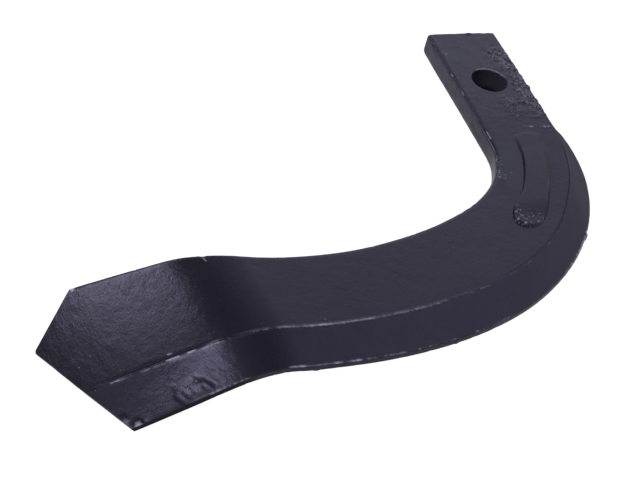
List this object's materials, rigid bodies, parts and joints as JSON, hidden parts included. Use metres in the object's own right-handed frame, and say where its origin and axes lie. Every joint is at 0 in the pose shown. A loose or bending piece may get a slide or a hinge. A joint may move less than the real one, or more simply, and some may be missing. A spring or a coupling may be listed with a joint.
{
  "type": "rotary tiller blade",
  "caption": "Curved forged tiller blade: flat shank with a bolt hole, bevelled sickle-shaped cutting side, bent scoop tip and a raised stiffening rib.",
  "frame": {"origin": "centre of the bolt hole, half way through the shank's thickness", "axes": "+Z along the bolt hole, towards the face with the rib and the bevel; +Y along the shank to its free end; +X towards the convex cutting side"},
  "size_m": [0.1831, 0.1421, 0.0427],
  "materials": {
    "black_paint": "satin"
  },
  "bodies": {
    "root": {"tiller_blade": "black_paint"}
  },
  "joints": []
}
